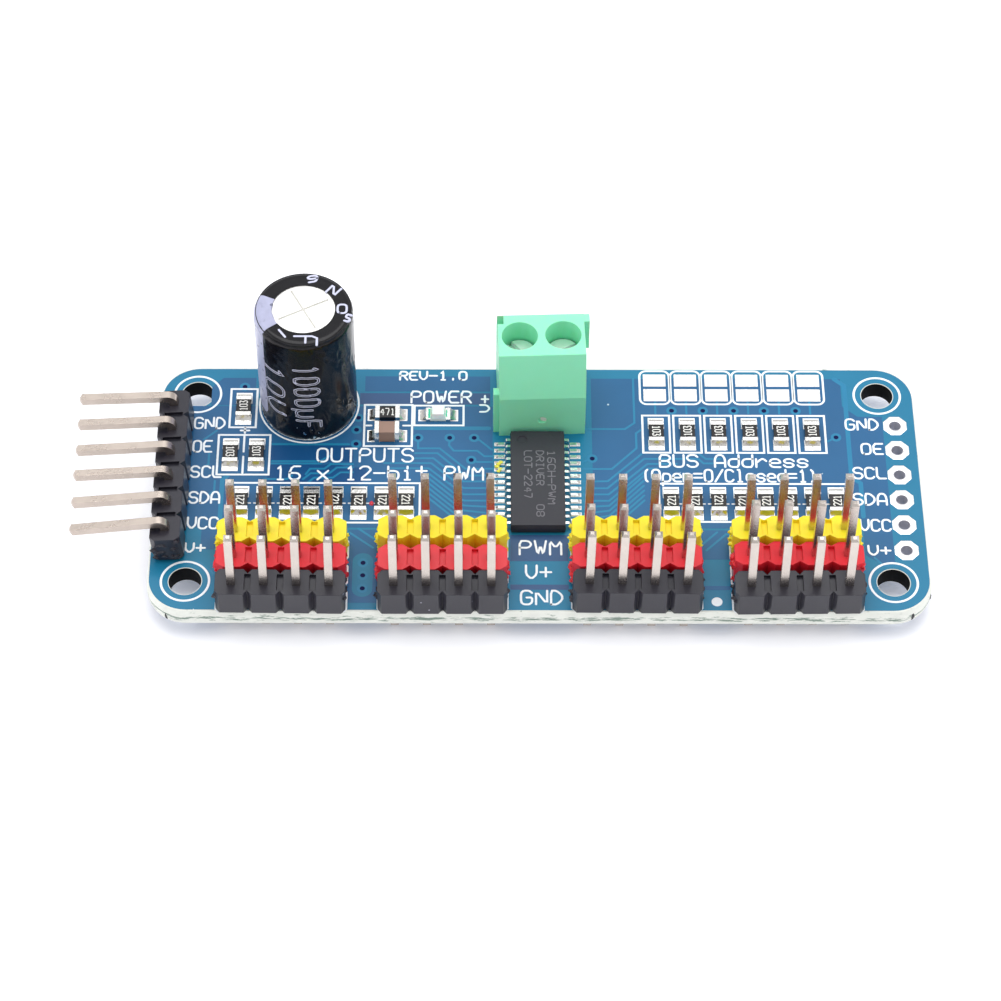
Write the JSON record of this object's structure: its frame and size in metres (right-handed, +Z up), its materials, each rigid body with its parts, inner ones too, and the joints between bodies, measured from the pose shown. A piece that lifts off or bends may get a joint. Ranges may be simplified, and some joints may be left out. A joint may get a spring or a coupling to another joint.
{
  "type": "servo driver board",
  "caption": "Flat circuit board with banks of three-colour pin headers for servos, a bent-pin bus header, a two-way screw terminal, a driver chip and a standing capacitor.",
  "frame": {"origin": "on the board's underside, in the middle of its four mounting holes", "axes": "+X along the board from the bent-pin bus header to the empty bus holes, +Y towards the edge with the screw terminal and capacitor, +Z up through the board to the component side"},
  "size_m": [0.0681, 0.0254, 0.015],
  "materials": {
    "board_laminate": "glossy blue solder mask over glass-epoxy laminate with pale cut edges",
    "black_strip": "satin moulded",
    "red_strip": "satin moulded",
    "yellow_strip": "satin moulded",
    "plated_pin": "tin plated, polished",
    "solder": "bright tin solder",
    "can_aluminium": "satin drawn",
    "sleeve_film": "glossy shrunk film with a grey polarity stripe",
    "bung_rubber": "matt",
    "winding_foil": "foil and paper",
    "lead_wire": "tinned",
    "green_nylon": "satin moulded nylon",
    "zinc_screw": "zinc plated",
    "plated_cage": "nickel plated",
    "clamp_steel": "tin plated",
    "chip_epoxy": "fine matt moulding",
    "lead_frame": "tin plated",
    "die_silicon": "polished",
    "end_cap": "tin plated",
    "tan_ceramic": "fired ceramic",
    "light_base": "white laminate",
    "light_lens": "milky clear resin",
    "resistor_glaze": "black glaze"
  },
  "bodies": {
    "root": {"address_resistors": "resistor_glaze", "address_resistors_caps": "end_cap", "bus_header_housing": "black_strip", "bus_header_pins": "plated_pin", "bypass_capacitor": "tan_ceramic", "bypass_capacitor_caps": "end_cap", "capacitor_bung": "bung_rubber", "capacitor_can": "can_aluminium", "capacitor_leads": "lead_wire", "capacitor_sleeve": "sleeve_film", "capacitor_winding": "winding_foil", "channel_resistors_1": "resistor_glaze", "channel_resistors_1_caps": "end_cap", "channel_resistors_2": "resistor_glaze", "channel_resistors_2_caps": "end_cap", "circuit_board": "board_laminate", "driver_chip_body": "chip_epoxy", "driver_chip_die": "die_silicon", "driver_chip_leads": "lead_frame", "driver_chip_paddle": "lead_frame", "ground_housing_1": "black_strip", "ground_housing_2": "black_strip", "ground_housing_3": "black_strip", "ground_housing_4": "black_strip", "ground_pins_1": "plated_pin", "ground_pins_2": "plated_pin", "ground_pins_3": "plated_pin", "ground_pins_4": "plated_pin", "light_resistor": "resistor_glaze", "light_resistor_caps": "end_cap", "power_housing_1": "red_strip", "power_housing_2": "red_strip", "power_housing_3": "red_strip", "power_housing_4": "red_strip", "power_light_base": "light_base", "power_light_base_caps": "end_cap", "power_light_lens": "light_lens", "power_pins_1": "plated_pin", "power_pins_2": "plated_pin", "power_pins_3": "plated_pin", "power_pins_4": "plated_pin", "pull_up_resistors": "resistor_glaze", "pull_up_resistors_caps": "end_cap", "signal_housing_1": "yellow_strip", "signal_housing_2": "yellow_strip", "signal_housing_3": "yellow_strip", "signal_housing_4": "yellow_strip", "signal_pins_1": "plated_pin", "signal_pins_2": "plated_pin", "signal_pins_3": "plated_pin", "signal_pins_4": "plated_pin", "solder_joints": "solder", "terminal_cage_1": "plated_cage", "terminal_cage_2": "plated_cage", "terminal_housing": "green_nylon"},
    "clamp_1": {"wire_clamp_1": "clamp_steel"},
    "screw_1": {"terminal_screw_1": "zinc_screw"},
    "clamp_2": {"wire_clamp_2": "clamp_steel"},
    "screw_2": {"terminal_screw_2": "zinc_screw"}
  },
  "joints": [
    {"name": "clamp_1_travel", "type": "slide", "parent": "root", "child": "clamp_1", "axis": [0, 0, 1], "range_m": [-0.001, 0.0008]},
    {"name": "screw_1_turn", "type": "hinge", "parent": "clamp_1", "child": "screw_1", "pos_m": [-0.00155, 0.00869, 0.0081], "axis": [0, 0, 1], "range_deg": [-900, 720]},
    {"name": "clamp_2_travel", "type": "slide", "parent": "root", "child": "clamp_2", "axis": [0, 0, 1], "range_m": [-0.001, 0.0008]},
    {"name": "screw_2_turn", "type": "hinge", "parent": "clamp_2", "child": "screw_2", "pos_m": [0.00195, 0.00881, 0.0081], "axis": [0, 0, 1], "range_deg": [-900, 720]}
  ],
  "couplings": [
    {"joint": "screw_1_turn", "follows": "clamp_1_travel", "rad_per_m": 15708},
    {"joint": "screw_2_turn", "follows": "clamp_2_travel", "rad_per_m": 15708}
  ]
}
